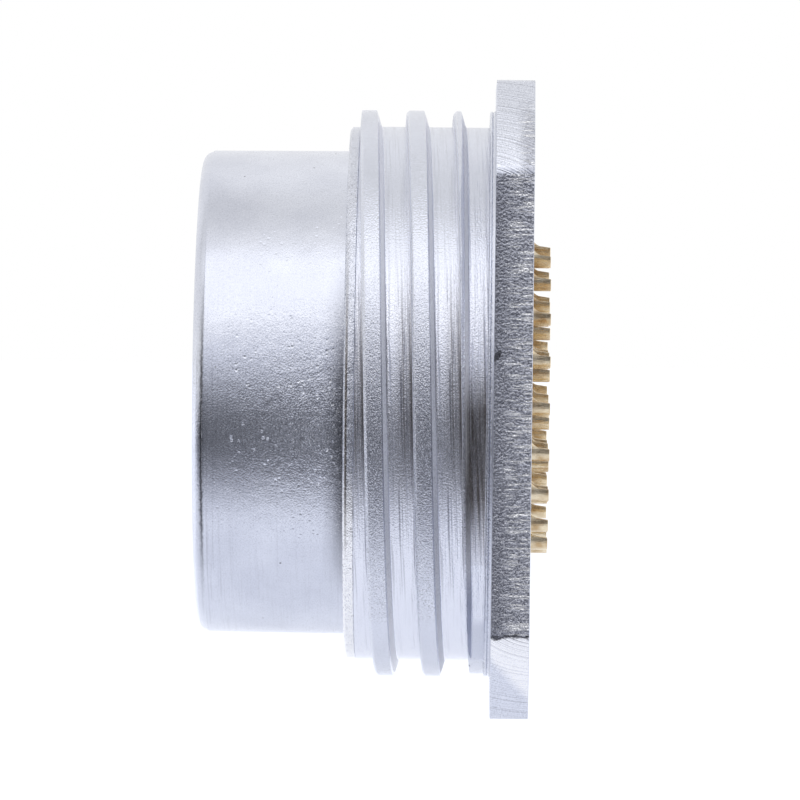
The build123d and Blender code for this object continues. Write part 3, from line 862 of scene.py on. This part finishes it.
def contactPoints(c):
    # rings along the pin and the body, then the cup's outer wall to its cut end, over the lip and back down
    a = np.linspace(0, 2 * np.pi, c["turns"], endpoint=False)
    q = c["pinRound"]
    rows = [(c["pinTip"], 0.02), *arcRows((c["pinTip"] + q, c["pinR"] - q), q, 180, 90, 5),
            (c["bodyFront"] - 0.01, c["pinR"]), (c["bodyFront"], c["pinR"] + 0.02),
            (c["bodyFront"], c["bodyR"] - 0.05), (c["bodyFront"] + 0.05, c["bodyR"])]

    def cutEnd(height):  # where the cut leaves this height: level first, then a round of scoopR
        rise = np.clip(height - c["cutLevel"], 0, c["scoopR"])
        back = np.sqrt(c["scoopR"] ** 2 - (c["scoopR"] - rise) ** 2)
        return np.where(height > c["cutLevel"], c["cupEnd"] - c["flat"] - back, c["cupEnd"])

    outerEnd = cutEnd(c["bodyR"] * np.cos(a))
    innerEnd = np.maximum(cutEnd(c["cupBoreR"] * np.cos(a)), c["cupFloor"] + 0.05)
    start = c["bodyFront"] + 0.05
    for share in (0.5, 0.8, 0.92, 1.0):
        rows.append((start + (outerEnd - c["lip"] - start) * share, c["bodyR"]))
    rows += [(outerEnd, c["bodyR"] - c["lip"]), (innerEnd, c["cupBoreR"] + c["lip"])]
    for share in (0.0, 0.5, 1.0):
        rows.append((innerEnd - c["lip"] + (c["cupFloor"] - innerEnd + c["lip"]) * share, c["cupBoreR"]))
    rows.append((c["cupFloor"] - 0.15, 0.02))
    x, r = (np.array([np.broadcast_to(row[k], a.shape) for row in rows]) for k in (0, 1))
    return np.stack([x, -r * np.sin(a), r * np.cos(a)], axis=-1)


def goldPlate(c):
    # brass, turned and cut, with a thin gold plating: warm yellow, darker where it has dulled, tool lines
    material, tree, shader, where = newMaterial("goldPlatedBrass", 1.0, c["rough"])
    add = partial(addNode, tree)
    stretched = add("VectorMath", [where, [1 / v for v in c["lineGrain"]]], operation="MULTIPLY")
    lines = add("TexNoise", {"Vector": stretched, "Scale": 1.0, "Detail": 2.0, "Roughness": 0.6})
    clouds = add("TexNoise", {"Vector": where, "Scale": 1.0, "Detail": 3.0})
    dulled = add("MapRange", [clouds, 0.4, 0.7])
    applyFinish(c, tree, shader, "gold", [(dulled, "goldDark")], [(lines, 0.5, c["lineDepth"])])
    return material


def buildContacts(c):
    # the same points at the middle of every contact's box
    points = contactPoints(c)
    quads = quadGrid(*points.shape[:2], 0, True)
    gold = goldPlate(c)
    for node in sorted(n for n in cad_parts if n.startswith("contact_")):
        low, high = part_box(node)
        middle = np.array([0, low.y + high.y, low.z + high.z]) / 2 / mm
        pin = meshFrom(node.replace("contact_", "contactPin"), (points + middle).reshape(-1, 3), quads,
                       materials=[gold], sharp=40, weld=0.004)
        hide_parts(node)


buildContacts(contact)
print("contacts made")

# Insert, seal and ring keep their CAD shapes; grain and depth of their mottle in mm
inside = {
    # glass-filled resin, moulded: near black and satin, with a faint flow mottle
    "insert": {"name": "mouldedResin", "tone": "#17181A", "light": "#26272A", "rough": 0.42, "metal": 0.0,
               "grain": (0.5, 0.5, 0.5), "depth": 0.04},
    # silicone rubber, moulded: dull, with a fine powdery grain
    "interface_seal": {"name": "mouldedSilicone", "tone": "#3A2A26", "light": "#54403A", "rough": 0.6,
                       "metal": 0.0, "grain": (0.25, 0.25, 0.25), "depth": 0.03},
    # spring steel, blanked and tumbled: mid grey, with short scratches
    "retaining_ring": {"name": "tumbledSpringSteel", "tone": "#8E8F94", "light": "#B7B8BC", "rough": 0.32,
                       "metal": 1.0, "grain": (0.2, 0.9, 0.2), "depth": 0.02},
}


def insideFinish(c):
    # a mottle of two tones, and a bump of the same grain
    material, tree, shader, where = newMaterial(c["name"], c["metal"], c["rough"])
    add = partial(addNode, tree)
    stretched = add("VectorMath", [where, [1 / v for v in c["grain"]]], operation="MULTIPLY")
    mottle = add("TexNoise", {"Vector": stretched, "Scale": 1.0, "Detail": 4.0, "Roughness": 0.6})
    applyFinish(c, tree, shader, "tone", [(mottle, "light")], [(mottle, 0.5, c["depth"])])
    return material


for node, settings in inside.items():
    material = insideFinish(settings)
    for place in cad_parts[node].material_slots:
        place.material = material
print("insert, seal and ring finished")

bpy.context.scene.view_settings.view_transform = "Standard"
